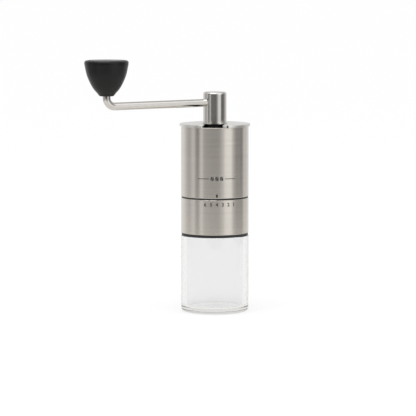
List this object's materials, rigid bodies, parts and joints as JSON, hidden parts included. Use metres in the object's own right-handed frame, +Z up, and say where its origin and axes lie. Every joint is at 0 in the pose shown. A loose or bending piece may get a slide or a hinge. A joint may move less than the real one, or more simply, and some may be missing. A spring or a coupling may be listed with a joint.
{
  "type": "hand crank coffee grinder",
  "caption": "Slim cylindrical hand coffee grinder with steel body, grind setting ring, clear jar, slotted lid and a bent rod crank with a black knob",
  "frame": {"origin": "centre of the flat bottom of the jar", "axes": "+Z up along the shaft and body axis; -Y is the front, where the index mark is"},
  "size_m": [0.1277, 0.0922, 0.1966],
  "materials": {
    "clear_plastic": "clear moulded plastic, glossy",
    "black_rubber": "matte",
    "brushed_steel": "brushed around the axis, satin",
    "lid_steel": "fine satin",
    "polished_steel": "bright polished",
    "plain_steel": "plain turned",
    "bronze": "sintered, dull",
    "black_plastic": "moulded, fine texture",
    "black_knob": "satin black",
    "acetal": "smooth",
    "ceramic": "sintered, matte"
  },
  "bodies": {
    "housing": {"housing_tube": "brushed_steel", "hopper_core": "black_plastic", "hopper_liner": "black_plastic", "glide_washer": "black_plastic", "retaining_ring": "black_plastic", "retaining_screws": "plain_steel", "shaft_bridge": "black_plastic", "bridge_screws": "plain_steel", "upper_bush": "bronze", "lower_bush": "bronze", "click_ball": "plain_steel", "click_spring": "plain_steel"},
    "setting_ring": {"grind_ring": "brushed_steel", "ring_core": "black_plastic"},
    "burr_carrier": {"burr_carrier": "black_plastic", "outer_burr": "ceramic", "guide_pins": "plain_steel"},
    "drive": {"drive_shaft": "plain_steel", "inner_burr": "ceramic", "thrust_washer": "plain_steel", "burr_spring": "plain_steel", "shaft_clip": "plain_steel", "burr_washer": "plain_steel", "burr_nut": "plain_steel"},
    "crank": {"crank_hub": "polished_steel", "hub_socket": "plain_steel", "crank_arm": "polished_steel", "hub_screw": "plain_steel", "knob_clip": "plain_steel"},
    "knob": {"crank_knob": "black_knob", "knob_cap": "black_knob", "knob_bush": "acetal"},
    "lid": {"lid": "lid_steel", "lid_lip": "black_rubber"},
    "jar_seal": {"jar_seal": "black_rubber"},
    "jar": {"jar": "clear_plastic"}
  },
  "joints": [
    {"name": "ring_turn", "type": "hinge", "parent": "housing", "child": "setting_ring", "pos_m": [0, 0, 0.075], "axis": [0, 0, 1], "range_deg": [-30, 20]},
    {"name": "burr_lift", "type": "slide", "parent": "housing", "child": "burr_carrier", "axis": [0, 0, 1], "range_m": [-0.00045, 0.0003]},
    {"name": "crank_turn", "type": "hinge", "parent": "housing", "child": "drive", "pos_m": [0, 0, 0.09], "axis": [0, 0, 1], "continuous": true},
    {"name": "crank_lift", "type": "slide", "parent": "drive", "child": "crank", "axis": [0, 0, 1], "range_m": [0, 0.03]},
    {"name": "knob_spin", "type": "hinge", "parent": "crank", "child": "knob", "pos_m": [-0.084, -0.0485, 0.18], "axis": [0, 0, 1], "continuous": true},
    {"name": "lid_lift", "type": "slide", "parent": "housing", "child": "lid", "axis": [0, 0, 1], "range_m": [0, 0.012]},
    {"name": "jar_unscrew", "type": "hinge", "parent": "housing", "child": "jar_seal", "pos_m": [0, 0, 0.06], "axis": [0, 0, 1], "range_deg": [-360, 0]},
    {"name": "jar_draw", "type": "slide", "parent": "jar_seal", "child": "jar", "axis": [0, 0, -1], "range_m": [0, 0.05]}
  ],
  "couplings": [
    {"joint": "burr_lift", "follows": "ring_turn", "m_per_rad": 0.00076}
  ]
}
